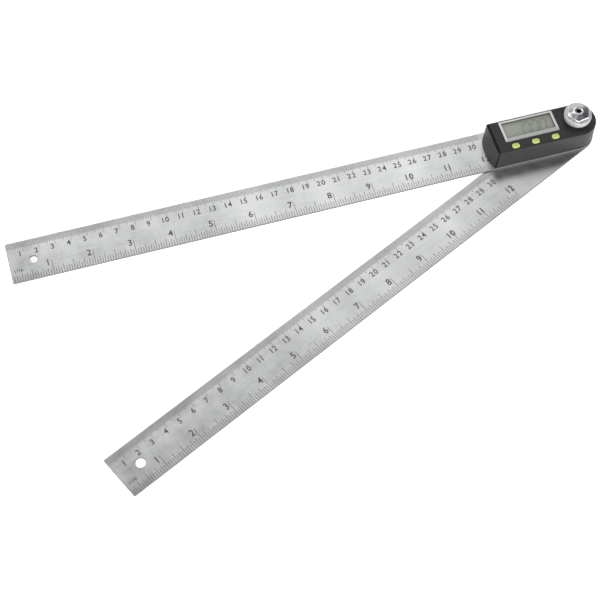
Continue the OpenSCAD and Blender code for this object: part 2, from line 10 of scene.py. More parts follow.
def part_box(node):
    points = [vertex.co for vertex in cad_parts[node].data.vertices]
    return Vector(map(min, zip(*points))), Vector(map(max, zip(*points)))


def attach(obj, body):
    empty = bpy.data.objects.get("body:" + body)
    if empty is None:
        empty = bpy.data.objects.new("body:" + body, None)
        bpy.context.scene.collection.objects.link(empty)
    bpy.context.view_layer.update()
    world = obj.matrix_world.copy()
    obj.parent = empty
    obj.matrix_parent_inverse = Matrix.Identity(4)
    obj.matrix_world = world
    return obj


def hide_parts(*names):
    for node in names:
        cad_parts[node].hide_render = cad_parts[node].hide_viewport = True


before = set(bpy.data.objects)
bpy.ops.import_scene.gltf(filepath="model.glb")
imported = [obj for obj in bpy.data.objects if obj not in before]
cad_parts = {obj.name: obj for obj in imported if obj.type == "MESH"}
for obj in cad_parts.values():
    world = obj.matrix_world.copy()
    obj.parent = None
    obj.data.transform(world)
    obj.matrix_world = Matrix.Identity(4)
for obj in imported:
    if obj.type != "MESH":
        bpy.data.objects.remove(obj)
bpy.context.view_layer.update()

bl_info = {
    "name": "Digital angle finder with two ruler arms",
    "version": (1, 0, 0),
    "blender": (4, 5, 0),
    "location": "3D View > Sidebar > Angle finder",
    "description": "Dresses the packed angle finder: rulers, scales, housing, display, keys and knob",
    "category": "Object",
}

MM = 0.001
ARM_ANGLE = 25.0


def span(node):
    """Lowest and highest corner of a CAD node in millimetres."""
    lo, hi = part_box(node)
    return np.array(lo) / MM, np.array(hi) / MM


FIXED_LO, FIXED_HI = span("fixed_ruler")
DECK_Z = float(FIXED_HI[2])
INCH_EDGE = float(FIXED_LO[1])
CM_EDGE = float(FIXED_HI[1])
FREE_END = float(FIXED_LO[0])
HOUSE_LO, HOUSE_HI = span("top_housing")
MOVING_TOP = float(span("moving_ruler")[1][2])
BEZEL_LO, BEZEL_HI = span("display_bezel")
WINDOW_LO, WINDOW_HI = span("display_window")
WINDOW_LIP = 0.4
VIEW_LO, VIEW_HI = WINDOW_LO + WINDOW_LIP, WINDOW_HI - WINDOW_LIP
PANEL_LO, PANEL_HI = span("lcd_panel")
KNOB_LO, KNOB_HI = span("lock_knob")
WASHER_HI = span("knob_washer")[1]
ROOF_Z = float(BEZEL_HI[2]) - 0.1
CEILING_Z = float(PANEL_HI[2])
CELL_X = float(sum(span("battery_cell"))[0]) / 2
SCREW_LO, SCREW_HI = span("housing_screws")
SCREW_HEAD_R, SCREW_R = 1.9, 1.0
SCREWS = [(x, y) for x in (SCREW_LO[0] + SCREW_HEAD_R, SCREW_HI[0] - SCREW_HEAD_R)
          for y in (SCREW_LO[1] + SCREW_HEAD_R, SCREW_HI[1] - SCREW_HEAD_R)]
BOARD_LO, BOARD_HI = span("board_screws")
BOARD_HEAD_R = 1.5
SCREW_POST_R, BOARD_POST_R, BOARD_TOP = 2.2, 1.7, 10.6
HANG_X, HANG_Y = FREE_END + 15.0, 1.0
FIXED_HANG_R, MOVING_HANG_R = 2.6, 3.1
BUSH_HOLE_R = 6.02
RIVET_HEAD_R, RIVET_R, RIVET_HEAD_H = 4.82, 3.52, 0.6
CAP_HOLE_R, CAP_NOTCH_R = 10.7, 11.7
END_CUT = 8.0
FOOT_HALF = float(HOUSE_HI[1])
TOP_HALF = FOOT_HALF - 0.1
ROUND_SHIFT = float(HOUSE_HI[0]) - FOOT_HALF
TAIL_BULGE = 3.5
TAIL_X = -float(HOUSE_LO[0]) - TAIL_BULGE
# Points of the housing's outline round the pivot end and round each corner of the tail
ROUND_POINTS, CORNER_POINTS = 65, 8
WALL = 1.2
RIB_DEPTH = 2.2
STEM_HOLE_R, COLLAR_R, BOSS_R = 3.4, 5.6, 7.0
WINDOW_CORNER_R, BEZEL_CORNER_R = 0.3, 0.45
# Length, width and corner radius of a key, of its retaining lips and of its opening
KEY, KEY_LIPS, KEY_HOLE = (4.9, 3.6, 1.5), (7.0, 3.7, 1.6), (5.6, 3.9, 1.7)


# ---------------------------------------------------------------- colours and nodes

def linear(code):
    """sRGB hex colour to linear RGBA: c/12.92 below 0.04045, else ((c + 0.055)/1.055)^2.4. A
    colour that is linear already is passed on."""
    if not isinstance(code, str):
        return code
    c = np.array([int(code[i:i + 2], 16) for i in (1, 3, 5)]) / 255
    c = np.where(c <= 0.04045, c / 12.92, ((c + 0.055) / 1.055) ** 2.4)
    return (*c.tolist(), 1.0)


def tinted(colour, *factors):
    """Linear RGBA from a colour property, times a factor for each channel or one for all."""
    return (*(min(float(c) * k, 1.0) for c, k in zip(colour, factors * 3)), 1.0)


def fill(tree, node, inputs):
    """Sets or links inputs of a node."""
    for key, value in inputs.items():
        if isinstance(value, bpy.types.NodeSocket):
            tree.links.new(value, node.inputs[key])
        else:
            node.inputs[key].default_value = value


def add(tree, kind, inputs=None, **settings):
    """Adds one shader node, sets its fields, and sets or links its inputs."""
    made = tree.nodes.new("ShaderNode" + kind)
    for key, value in settings.items():
        setattr(made, key, value)
    fill(tree, made, inputs or {})
    return made


def maths(tree, operation, *values):
    """Arithmetic on two or three values."""
    return add(tree, "Math", dict(enumerate(values)), operation=operation).outputs[0]


def remap(tree, value, low, high, to_low=0.0, to_high=1.0, **settings):
    """Moves a value from one range to another and holds it at both ends."""
    return add(tree, "MapRange", {"Value": value, "From Min": low, "From Max": high,
                                  "To Min": to_low, "To Max": to_high}, **settings).outputs[0]


def scaled(tree, shade, factor):
    """Colour times a factor."""
    return add(tree, "VectorMath", {0: shade, "Scale": factor}, operation="SCALE").outputs[0]


def noise(tree, place, grain_mm, detail, rough=0.5):
    """Noise of a real grain size."""
    return add(tree, "TexNoise", {"Vector": place, "Scale": 1 / (grain_mm * MM), "Detail": detail,
                                  "Roughness": rough}).outputs["Fac"]


def bump(tree, height, depth_mm, strength=1.0):
    """Bump of a real depth."""
    return add(tree, "Bump", {"Height": height, "Distance": depth_mm * MM,
                              "Strength": strength}).outputs[0]


def ramp(tree, factor, stops):
    """Colour ramp through (place, linear colour) stops."""
    made = add(tree, "ValToRGB", {"Fac": factor})
    bar = made.color_ramp.elements
    while len(bar) < len(stops):
        bar.new(0.5)
    for element, (place, colour) in zip(bar, stops):
        element.position, element.color = place, colour
    return made.outputs["Color"]


def blank(name):
    """New material, its node tree and its shader."""
    made = bpy.data.materials.new(name)
    made.use_nodes = True
    return made, made.node_tree, made.node_tree.nodes["Principled BSDF"]


def finish(name, dark, light, metallic, rough, grain_mm, bump_mm=0.0, rough_swing=0.0, detail=4.0,
           **shader):
    """Procedural finish: noise of a real grain size mixes two shades, swings the roughness and
    lifts the surface."""
    made, tree, body = blank(name)
    grain = noise(tree, add(tree, "TexCoord").outputs["Object"], grain_mm, detail, 0.6)
    shade = ramp(tree, grain, [(0.3, linear(dark)), (0.7, linear(light))])
    if rough_swing:
        rough = remap(tree, grain, 0.3, 0.7, rough - rough_swing, rough + rough_swing)
    fill(tree, body, {"Base Color": shade, "Metallic": metallic, "Roughness": rough})
    if bump_mm:
        fill(tree, body, {"Normal": bump(tree, grain, bump_mm)})
    fill(tree, body, {key.replace("_", " "): value for key, value in shader.items()})
    return made


# ---------------------------------------------------------------- outlines in millimetres

def circle(x, y, r, n=72):
    """Circle of n points, anticlockwise."""
    a = np.arange(n) * 2 * math.pi / n
    return np.column_stack((x + r * np.cos(a), y + r * np.sin(a)))


def rounded_box(x, y, l, w, r, k=6):
    """Rectangle whose four corners are quarter circles, anticlockwise."""
    a = (np.arange(4)[:, None] * 90 + np.linspace(0, 90, k + 1)[None, :]) * math.pi / 180
    sx = np.array([1, -1, -1, 1])[:, None]
    sy = np.array([1, 1, -1, -1])[:, None]
    px = x + sx * (l / 2 - r) + r * np.cos(a)
    py = y + sy * (w / 2 - r) + r * np.sin(a)
    return np.column_stack((px.ravel(), py.ravel()))


def middle(lo, hi):
    """Middle of a box, in plan."""
    return (lo[0] + hi[0]) / 2, (lo[1] + hi[1]) / 2


def box_of(lo, hi, r):
    """Rounded rectangle over the plan of a CAD box."""
    return rounded_box(*middle(lo, hi), hi[0] - lo[0], hi[1] - lo[1], r)


def grown(outline, d):
    """Outline moved outwards by d: each point goes along the mean of its two edge normals."""
    edge = np.roll(outline, -1, axis=0) - outline
    edge /= np.linalg.norm(edge, axis=1)[:, None]
    normal = np.column_stack((edge[:, 1], -edge[:, 0]))
    mean = normal + np.roll(normal, 1, axis=0)
    mean /= (1 + np.sum(normal * np.roll(normal, 1, axis=0), axis=1))[:, None]
    return outline + d * mean


def at(outline, z):
    """Flat outline lifted to a height."""
    return np.column_stack((outline, np.full(len(outline), float(z))))


def upright(outline, z0, z1):
    """Two rings of a plain upright wall."""
    return np.stack([at(outline, z0), at(outline, z1)])


def lathe(x, y, steps, n):
    """Rings of a turned profile: a circle about x, y for each step of radius and height."""
    return np.stack([at(circle(x, y, r, n), z) for r, z in steps])


def stepped(outline, steps):
    """Rings of one outline, moved outwards by a distance and lifted to a height at each step."""
    return np.stack([at(grown(outline, d), z) for d, z in steps])


def eased(outline, z0, z1, e, hole=False):
    """Rings of an upright wall with two quarter-round edges of radius e."""
    a = np.linspace(0, math.pi / 2, 4)
    inset = np.concatenate((e * (1 - np.sin(a)), e * (1 - np.cos(a))))
    z = np.concatenate((z0 + e * (1 - np.cos(a)), z1 - e * (1 - np.sin(a))))
    return stepped(outline, zip(inset if hole else -inset, z))


def ruler_outline():
    """Ruler: square free end, parallel edges, arc round the pivot from the inch edge to the point
    where the slanted cut from the centimetre edge touches it."""
    r = -INCH_EDGE
    cut = np.array([-END_CUT, CM_EDGE])
    stop = math.atan2(cut[1], cut[0]) - math.acos(r / math.hypot(*cut))
    a = np.linspace(-math.pi / 2, stop, 64)
    arc = np.column_stack((r * np.cos(a), r * np.sin(a)))
    corner_r = 0.35
    t = np.array((0.0, 0.4, 0.8, 1.2, math.pi / 2))
    x, y = FREE_END + corner_r * (1 - np.cos(t)), corner_r * (1 - np.sin(t))
    low = np.column_stack((x, INCH_EDGE + y))
    high = np.column_stack((x, CM_EDGE - y))[::-1]
    return np.concatenate((low, arc, cut[None], high))


def house_outline(z, inset):
    """Housing at a height: half circle at the pivot end, straight sides, and a tail whose bulge
    fades from the foot to a straight edge at the top. Its two upright corners are rounded by a
    Bezier curve with its middle point where the side meets the tail's tangent."""
    t = (z - DECK_Z) / (ROOF_Z - DECK_Z)
    r = FOOT_HALF + (TOP_HALF - FOOT_HALF) * t - inset
    bulge = TAIL_BULGE * (1 - t)
    x = TAIL_X - inset
    a = np.linspace(-math.pi / 2, math.pi / 2, ROUND_POINTS)
    front = np.column_stack((ROUND_SHIFT + r * np.cos(a), r * np.sin(a)))
    soft = max(0.5 - inset, 0.15)
    turn = math.acos(1 - soft / r)
    b = np.linspace(turn, math.pi - turn, 33)
    tail = np.column_stack((-x - bulge * np.sin(b), r * np.cos(b)))
    mid = np.array([-x - bulge * math.tan(turn / 2), r])
    s = np.linspace(0, 1, CORNER_POINTS + 1)[:-1, None]
    start = mid + (soft, 0)
    corner = (1 - s) ** 2 * start + 2 * s * (1 - s) * mid + s ** 2 * tail[0]
    other = (corner * (1, -1))[::-1]
    return np.concatenate((front, corner, tail, other))


# ---------------------------------------------------------------- surfaces

def tube(rings, closed=False):
    """Quads between successive rings of equal length. Anticlockwise rings that go upwards face
    outwards."""
    m, n, _ = rings.shape
    index = np.arange(m * n).reshape(m, n)
    after = np.roll(index, -1, axis=1)
    low, low_next, high, high_next = index[:-1], after[:-1], index[1:], after[1:]
    if closed:
        low, low_next = index, after
        high, high_next = np.roll(index, -1, axis=0), np.roll(after, -1, axis=0)
    quads = np.stack((low, low_next, high_next, high), -1).reshape(-1, 4)
    return rings.reshape(-1, 3), quads.tolist()


def lid(points, loops, up):
    """Flat face between an outer loop and its holes, as triangles that face up or down."""
    sides = [[Vector(points[i]) for i in loop] for loop in loops]
    order = np.concatenate(loops)
    faces = []
    for tri in tessellate_polygon(sides):
        a, b, c = (order[i] for i in tri)
        p, q, s = points[a], points[b], points[c]
        area = (q[0] - p[0]) * (s[1] - p[1]) - (q[1] - p[1]) * (s[0] - p[0])
        faces.append([int(a), int(b), int(c)] if (area > 0) == up else [int(a), int(c), int(b)])
    return faces


def walled(outer, holes=()):
    """Closed solid from rims that each run from the lower face to the upper one: the outer rim,
    and hole rims whose rings are turned round so that they face into the hole."""
    rims = [outer] + [h[:, ::-1] for h in holes]
    points, walls, low, high, start = [], [], [], [], 0
    for rim in rims:
        p, quads = tube(rim)
        n = rim.shape[1]
        points.append(p)
        walls += (np.array(quads) + start).tolist()
        low.append(np.arange(n) + start)
        high.append(np.arange(n) + start + len(p) - n)
        start += len(p)
    points = np.concatenate(points)
    lids = lid(points, high, True) + lid(points, low, False)
    return points, walls, lids


def loop_solid(rings):
    """Closed solid of revolution or the like, with a hole through it: the last ring joins the
    first."""
    p, quads = tube(rings, closed=True)
    return p, quads, []


def turned(points, degrees):
    """Points turned about the pivot axis."""
    a = math.radians(degrees)
    m = np.array([[math.cos(a), -math.sin(a), 0], [math.sin(a), math.cos(a), 0], [0, 0, 1]])
    return points @ m.T


def put(name, data):
    """New object in the scene."""
    made = bpy.data.objects.new(name, data)
    bpy.context.scene.collection.objects.link(made)
    return made


def piece(name, body, materials, shells, turn=0.0, replaces=(), sharp=32.0, zones=None):
    """One named mesh, in place in the shared frame, that rides on a body. Walls are smooth, lids
    are flat. Zones gives the number of each face's material, where there is more than one."""
    points, faces, smooth, start = [], [], [], 0
    for p, walls, lids in shells:
        points.append(p)
        faces += [[i + start for i in f] for f in walls + lids]
        smooth += [True] * len(walls) + [False] * len(lids)
        start += len(p)
    points = turned(np.concatenate(points), turn) * MM
    mesh = bpy.data.meshes.new(name)
    mesh.from_pydata(points.tolist(), [], faces)
    mesh.set_sharp_from_angle(angle=math.radians(sharp))
    mesh.polygons.foreach_set("use_smooth", smooth)
    for material in materials if isinstance(materials, tuple) else (materials,):
        mesh.materials.append(material)
    if zones is not None:
        mesh.polygons.foreach_set("material_index", zones)
    mesh.update()
    if mesh.validate():
        raise RuntimeError(f"{name} has faces that are not sound")
    made = put(name, mesh)
    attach(made, body)
    if replaces:
        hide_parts(*replaces)


# ---------------------------------------------------------------- what a user would change

def length(name, text, value):
    """Length property with its default in metres."""
    return FloatProperty(name=name, description=text, default=value, min=0.0, subtype="DISTANCE",
                         unit="LENGTH")


def colour(name, text, code):
    """Colour property from an sRGB hex default."""
    return FloatVectorProperty(name=name, description=text, default=linear(code)[:3], size=3,
                               min=0.0, max=1.0, subtype="COLOR")


class FinderSizes(bpy.types.PropertyGroup):
    """Lengths that a user would change"""
    ruler_edge: length("Ruler edge", "Rounding of the rulers' stamped edges", 0.22 * MM)
    tick_width: length("Tick width", "Width of the etched graduation lines", 0.24 * MM)
    cm_numeral: length("Centimetre numerals", "Height of the numerals on the centimetre side",
                       3.8 * MM)
    inch_numeral: length("Inch numerals", "Height of the numerals on the inch side", 4.5 * MM)
    house_edge: length("Housing edge", "Rounding of the housing's top edge", 0.6 * MM)
    key_edge: length("Key edge", "Rounding of the keys' top edge", 0.7 * MM)
    knob_edge: length("Knob edge", "Rounding of the knob's turned edges", 0.55 * MM)


class FinderColours(bpy.types.PropertyGroup):
    """Colours that a user would change"""
    ink: colour("Ink", "Fill of the etched lines and numerals", "#4a4a4a")
    key: colour("Keys", "Moulded keys", "#b2bb62")
    display: colour("Display", "Liquid crystal background", "#868a80")


# ---------------------------------------------------------------- rulers

def steel(name, turn):
    """Stainless steel, cold rolled and brushed lengthwise: satin grey with faint long lines, soft
    cloudy patches and a duller band over the centimetre lines."""
    made, tree, body = blank(name)
    place = add(tree, "Mapping", {"Vector": add(tree, "TexCoord").outputs["Object"],
                                  "Rotation": (0.0, 0.0, -math.radians(turn))}).outputs[0]
    # Brush lines about 0.5 mm apart, drawn coarser than the real ones so that they show
    long = add(tree, "Mapping", {"Vector": place, "Scale": (0.02, 1.0, 1.0)}).outputs[0]
    lines = noise(tree, long, 0.5, 3.0)
    # Patches about 9 mm and 45 mm wide, as rolling and wiping leave them
    cloud, wide = noise(tree, place, 9, 5.0, 0.65), noise(tree, place, 45, 2.0)
    total = maths(tree, "MULTIPLY_ADD", lines, 0.5, maths(tree, "ADD", cloud, wide))
    shade = ramp(tree, maths(tree, "MULTIPLY", total, 0.4),
                 [(0.36, linear("#adaeaf")), (0.5, linear("#c8c9c9")), (0.64, linear("#dddede"))])
    # Fingers leave a band of smudges along the centimetre edge
    across = add(tree, "SeparateXYZ", {0: place}).outputs["Y"]
    wavy = maths(tree, "MULTIPLY_ADD", wide, 3 * MM, across)
    smudged = scaled(tree, shade, remap(tree, wavy, 12.2 * MM, 13.4 * MM, 1.0, 0.86))
    fill(tree, body, {"Base Color": smudged, "Roughness": remap(tree, cloud, 0.3, 0.7, 0.27, 0.36),
                      "Metallic": 1.0, "Normal": bump(tree, lines, 0.004, 0.6)})
    return made


def cap_opening():
    """Opening of the battery cap: a circle with two notches, each 32 degrees wide, at 50 degrees
    and opposite."""
    arcs = [(66, 214, CAP_HOLE_R, 40), (214, 246, CAP_NOTCH_R, 10),
            (246, 394, CAP_HOLE_R, 40), (34, 66, CAP_NOTCH_R, 10)]
    a = np.concatenate([np.linspace(lo, hi, n) for lo, hi, _, n in arcs]) * math.pi / 180
    r = np.concatenate([np.full(n, r) for _, _, r, n in arcs])
    return np.column_stack((CELL_X + r * np.cos(a), r * np.sin(a)))


def countersink(x, y, z0, z1):
    """Screw hole that narrows from its head's radius to its shank's, going up."""
    shank = SCREW_R + 0.02
    steps = [(SCREW_HEAD_R + 0.02, z0), (shank, z0 + 0.9), (shank, z1 - 0.05), (shank + 0.05, z1)]
    return lathe(x, y, steps, 40)


class FINDER_OT_rulers(bpy.types.Operator):
    """Two stamped steel rulers with eased edges and all their holes"""
    bl_idname = "finder.rulers"
    bl_label = "Steel rulers"

    def execute(self, context):
        self.edge = context.scene.finder_sizes.ruler_edge / MM
        # Sheared and tumbled edges: rougher and darker than the rolled faces, so each ruler has a
        # thin dark outline
        self.sheared = finish("stainless_sheared_edge", "#6a6b6c", "#828384", 0.3, 0.5, 0.8,
                              rough_swing=0.06)
        z0, z1 = float(FIXED_LO[2]), DECK_Z
        self.ruler("fixed", 0.0, z0, z1, FIXED_HANG_R, [
            eased(circle(0, 0, BUSH_HOLE_R), z0, z1, 0.05, hole=True),
            eased(cap_opening(), z0, z1, 0.05, hole=True),
            *(countersink(x, y, z0, z1) for x, y in SCREWS)])
        rivet = [(RIVET_HEAD_R, 0.0), (RIVET_R, RIVET_HEAD_H), (RIVET_R, MOVING_TOP)]
        self.ruler("moving", ARM_ANGLE, 0.0, MOVING_TOP, MOVING_HANG_R, [lathe(0, 0, rivet, 60)])
        return {"FINISHED"}

    def ruler(self, name, turn, z0, z1, hang_r, holes):
        """One ruler between two heights, with its hanging hole and the holes at its pivot end."""
        hang = eased(circle(HANG_X, HANG_Y, hang_r, 48), z0, z1, self.edge, hole=True)
        shell = walled(eased(ruler_outline(), z0, z1, self.edge), [hang, *holes])
        rolled = steel("stainless_brushed_" + name, turn)
        piece("ruler_" + name, name + "_arm", (rolled, self.sheared), [shell], turn=turn,
              replaces=(name + "_ruler",),
              zones=[1] * len(shell[1]) + [0] * len(shell[2]))


# ---------------------------------------------------------------- scales

def bars(x0, x1, y0, y1, z0, z1):
    """Upright blocks, one for each entry of the arrays: eight points and six faces each."""
    n = len(x0)
    x = np.stack((x0, x1, x1, x0) * 2, -1)
    y = np.stack((y0, y0, y1, y1) * 2, -1)
    z = np.tile([z0] * 4 + [z1] * 4, (n, 1))
    sides = np.array([[0, 3, 2, 1], [4, 5, 6, 7], [0, 1, 5, 4], [1, 2, 6, 5], [2, 3, 7, 6],
                      [3, 0, 4, 7]])
    faces = (np.arange(n)[:, None, None] * 8 + sides[None]).reshape(-1, 4)
    return np.stack((x, y, z), -1).reshape(-1, 3), [], faces.tolist()


def graduations(width):
    """Lines of both edges. On the centimetre edge every millimetre, longer at 5 and 10; on the
    inch edge every sixteenth, longer at each eighth, quarter, half and inch, and cut wider."""
    k = np.arange(1, 305)
    cm_x = FREE_END + k
    cm_l = np.where(k % 10 == 0, 7.4, np.where(k % 5 == 0, 6.0, 4.4))
    j = np.arange(1, 193)
    inch_x = FREE_END + j * 25.4 / 16
    inch_l = np.select([j % 16 == 0, j % 8 == 0, j % 4 == 0, j % 2 == 0],
                       [10.6, 7.4, 6.0, 5.0], 4.0)
    x = np.concatenate((cm_x, inch_x))
    half = width * np.repeat((0.42, 0.62), (len(k), len(j)))
    y0 = np.concatenate((CM_EDGE - cm_l, np.full(len(j), INCH_EDGE + 0.2)))
    y1 = np.concatenate((np.full(len(k), CM_EDGE - 0.2), INCH_EDGE + inch_l))
    return x - half, x + half, y0, y1


def glyphs(characters):
    """Each character of Blender's own font as a flat prism: points scaled so that a digit is one
    high, faces, and its width."""
    made = {}
    for c in characters:
        curve = bpy.data.curves.new("glyph", "FONT")
        curve.body = c
        curve.resolution_u = 3
        curve.offset = 0.018
        curve.extrude = 0.5
        holder = bpy.data.objects.new("glyph", curve)
        mesh = bpy.data.meshes.new_from_object(holder)
        p = np.empty(len(mesh.vertices) * 3)
        mesh.vertices.foreach_get("co", p)
        p = p.reshape(-1, 3)
        made[c] = (p, [list(f.vertices) for f in mesh.polygons])
        bpy.data.objects.remove(holder)
        bpy.data.curves.remove(curve)
        bpy.data.meshes.remove(mesh)
    tall = np.ptp(made["0"][0][:, 1])
    low = made["0"][0][:, 1].min()
    return {c: ((p - (p[:, 0].min(), low, 0)) * (1 / tall, 1 / tall, 1), f, np.ptp(p[:, 0]) / tall)
            for c, (p, f) in made.items()}


def numerals(text, x, y, height, font, z0, z1):
    """A number with its middle at x, y: its digits one after another, as high as asked for and a
    little narrower than the font has them."""
    narrow, gap = 0.94, 0.2
    widths = [max(font[c][2], 0.45) for c in text]
    total = sum(widths) + gap * (len(text) - 1)
    pen = -total / 2
    shells = []
    for c, w in zip(text, widths):
        p, faces, own = font[c]
        q = p.copy()
        q[:, 0] = x + (pen + (w - own) / 2 + q[:, 0]) * height * narrow
        q[:, 1] = y + (q[:, 1] - 0.5) * height
        q[:, 2] = np.where(q[:, 2] > 0, z1, z0)
        shells.append((q, [], faces))
        pen += w + gap
    return shells


class FINDER_OT_scales(bpy.types.Operator):
    """Etched and inked graduations and numerals on both rulers"""
    bl_idname = "finder.scales"
    bl_label = "Scales"

    def execute(self, context):
        sizes = context.scene.finder_sizes
        # Ink rolled into the etched lines: matt dark grey, a little uneven
        base = context.scene.finder_colours.ink
        ink = finish("etching_ink_dark_grey", tinted(base, 0.8), tinted(base, 1.25), 0.0, 0.6, 0.6,
                     detail=2.0)
        font = glyphs("0123456789/")
        for name, body, top, turn in (("fixed", "fixed_arm", DECK_Z, 0.0),
                                      ("moving", "moving_arm", MOVING_TOP, ARM_ANGLE)):
            z0, z1 = top - 0.03, top + 0.012
            x0, x1, y0, y1 = graduations(sizes.tick_width / MM)
            piece("graduations_" + name, body, ink, [bars(x0, x1, y0, y1, z0, z1)], turn=turn)
            shells = []
            # Last number, spacing, height over the inch edge, numeral height, and how far the
            # middle of a number of one or of two digits stands before its line
            for last, pitch, y, tall, one, two in (
                    (30, 10.0, 19.7, sizes.cm_numeral / MM, 2.15, 1.65),
                    (12, 25.4, 9.2, sizes.inch_numeral / MM, 2.4, 1.1)):
                for k in range(1, last + 1):
                    x = FREE_END + pitch * k - (one if k < 10 else two)
                    shells += numerals(str(k), x, INCH_EDGE + y, tall, font, z0, z1)
            unit_x, unit_y, unit_height = FREE_END + 4.8, INCH_EDGE + 8.1, 2.2
            shells += numerals("1/16", unit_x, unit_y, unit_height, font, z0, z1)
            piece("numerals_" + name, body, ink, shells, turn=turn)
        return {"FINISHED"}


# ---------------------------------------------------------------- housing

def house_rim(edge):
    """Rings from the ceiling down the inner wall, round the foot, up the drafted outer wall and
    over a quarter-round top edge."""
    low = ROOF_Z - edge
    steps = [(CEILING_Z, WALL), (DECK_Z, WALL), (DECK_Z, 0.12), (DECK_Z + 0.12, 0),
             (DECK_Z + 0.4, 0), (low - 0.4, 0), (low, 0)]
    steps += [(low + edge * math.sin(a), edge * (1 - math.cos(a)))
              for a in np.linspace(0, math.pi / 2, 7)[1:]]
    rings = [at(house_outline(z, inset), z) for z, inset in steps]
    # The last ring widens the dark-painted strip along the tail, clear of the bezel's pocket
    inner = house_outline(ROOF_Z, edge + 0.12)
    inner[ROUND_POINTS:, 0] += 0.8
    return np.stack([*rings, at(inner, ROOF_Z)])


def polished_edges(rings, outline):
    """Zone of each wall face of the housing: 1 along the tail's top edge and on its two upright
    corners, smoother and painted darker as a painted shade, and 0 on the grained rest."""
    strip, column = np.divmod(np.arange((rings - 1) * outline), outline)
    tail = (column >= ROUND_POINTS) & (column < outline - 1)
    corner = tail & ((column < ROUND_POINTS + CORNER_POINTS)
                     | (column >= outline - 1 - CORNER_POINTS))
    wall_strip, top_strip = 2, 6
    return np.where((strip >= top_strip) & tail | (strip >= wall_strip) & corner, 1, 0).tolist()


def boss_rim():
    """Rings up the stem hole, over the raised ring under the knob and down to the roof."""
    top = float(WASHER_HI[2]) - 0.8
    steps = [(STEM_HOLE_R, CEILING_Z), (STEM_HOLE_R, top - 0.2), (STEM_HOLE_R + 0.2, top),
             (BOSS_R - 0.3, top), (BOSS_R - 0.09, top - 0.09), (BOSS_R, top - 0.3),
             (BOSS_R, ROOF_Z + 0.3), (BOSS_R + 0.06, ROOF_Z + 0.1), (BOSS_R + 0.25, ROOF_Z)]
    return lathe(0, 0, steps, 96)


def pocket_rim():
    """Rings up through the window's opening, over the ledge that the bezel sits on, and up its
    pocket."""
    inner = box_of(WINDOW_LO, WINDOW_HI, WINDOW_CORNER_R)
    outer = box_of(BEZEL_LO, BEZEL_HI, BEZEL_CORNER_R)
    ledge = BEZEL_LO[2]
    return np.concatenate((
        stepped(inner, [(0.03, CEILING_Z), (0.03, ledge)]),
        stepped(outer, [(0.06, ledge - 0.01), (0.06, ROOF_Z - 0.15), (0.1, ROOF_Z - 0.04),
                        (0.2, ROOF_Z)])))


def key_rim(node):
    """Rings up a key's opening in the roof, with an eased mouth."""
    return stepped(rounded_box(*middle(*span(node)), *KEY_HOLE),
                   [(0, CEILING_Z), (0, ROOF_Z - 0.2), (0.06, ROOF_Z - 0.06), (0.2, ROOF_Z)])


def column(x, y, r, z0):
    """Plain upright post from a height to the ceiling."""
    return walled(upright(circle(x, y, r, 40), z0, CEILING_Z))


def rib(angle, z0):
    """Upright web from the collar to the wall, turned about the round end's middle."""
    near, far, half = 5.0, TOP_HALF - WALL, 0.5
    strip = np.array([[near, -half], [far, -half], [far, half], [near, half]])
    a = math.radians(angle)
    m = np.array([[math.cos(a), -math.sin(a)], [math.sin(a), math.cos(a)]])
    return walled(upright(strip @ m.T + (ROUND_SHIFT, 0), z0, CEILING_Z))


class FINDER_OT_housing(bpy.types.Operator):
    """Moulded black housing: drafted walls, bulged tail, pockets for display and keys, ring under
    the knob, and the posts and ribs inside"""
    bl_idname = "finder.housing"
    bl_label = "Housing"

    def execute(self, context):
        edge = context.scene.finder_sizes.house_edge / MM
        # Glass-filled ABS from a spark-eroded mould: black with a fine even grain and a dull sheen
        grained = finish("abs_moulded_black", "#1f1f20", "#272728", 0.0, 0.44, 0.35, detail=3.0,
                         bump_mm=0.02, rough_swing=0.05, Specular_IOR_Level=0.42)
        # Smoother radii round the tail, painted darker and given a weaker reflection: painted shade
        # for the dark line along the tail's top edge and down its corners
        smooth_painted_dark = finish("abs_moulded_black_smooth_painted_dark", "#08080a", "#0c0c0d", 0.0, 0.28, 1.5,
                          Specular_IOR_Level=0.12)
        rim = house_rim(edge)
        keys = [key_rim(n) for n in ("button_left", "button_middle", "button_right")]
        shell = walled(rim, [boss_rim(), pocket_rim()] + keys)
        foot = CEILING_Z - RIB_DEPTH
        inside = [walled(upright(circle(0, 0, COLLAR_R), foot, CEILING_Z),
                         [upright(circle(0, 0, STEM_HOLE_R), foot, CEILING_Z)])]
        inside += [rib(a, foot) for a in (-90, -45, 0, 45, 90)]
        inside += [column(x, y, SCREW_POST_R, DECK_Z) for x, y in SCREWS]
        inside += [column(x, 0, BOARD_POST_R, BOARD_TOP) for x in
                   (BOARD_LO[0] + BOARD_HEAD_R, BOARD_HI[0] - BOARD_HEAD_R)]
        zones = polished_edges(len(rim), len(rim[0]))
        zones += [0] * (sum(len(w) + len(l) for _, w, l in [shell] + inside) - len(zones))
        piece("housing_shell", "fixed_arm", (grained, smooth_painted_dark), [shell] + inside,
              replaces=("top_housing",), zones=zones)
        return {"FINISHED"}


# ---------------------------------------------------------------- display

def nought_bars(x, y, w, h, t, lean):
    """Seven-segment nought: each of its six lit segments is a long hexagon, and all lean with
    their height."""
    half, gap = h / 2, 0.18
    plans = []
    for ends in (((0, h), (w, h)), ((w, h), (w, half)), ((w, half), (w, 0)), ((0, 0), (w, 0)),
                 ((0, 0), (0, half)), ((0, half), (0, h))):
        p, q = (np.array(e, float) for e in ends)
        along = (q - p) / np.linalg.norm(q - p)
        side = np.array([-along[1], along[0]]) * t / 2
        p, q = p + along * gap, q - along * gap
        plan = np.array([p, p + along * t / 2 - side, q - along * t / 2 - side, q,
                         q - along * t / 2 + side, p + along * t / 2 + side])
        plan[:, 0] += plan[:, 1] * lean
        plans.append(plan + (x, y))
    return plans


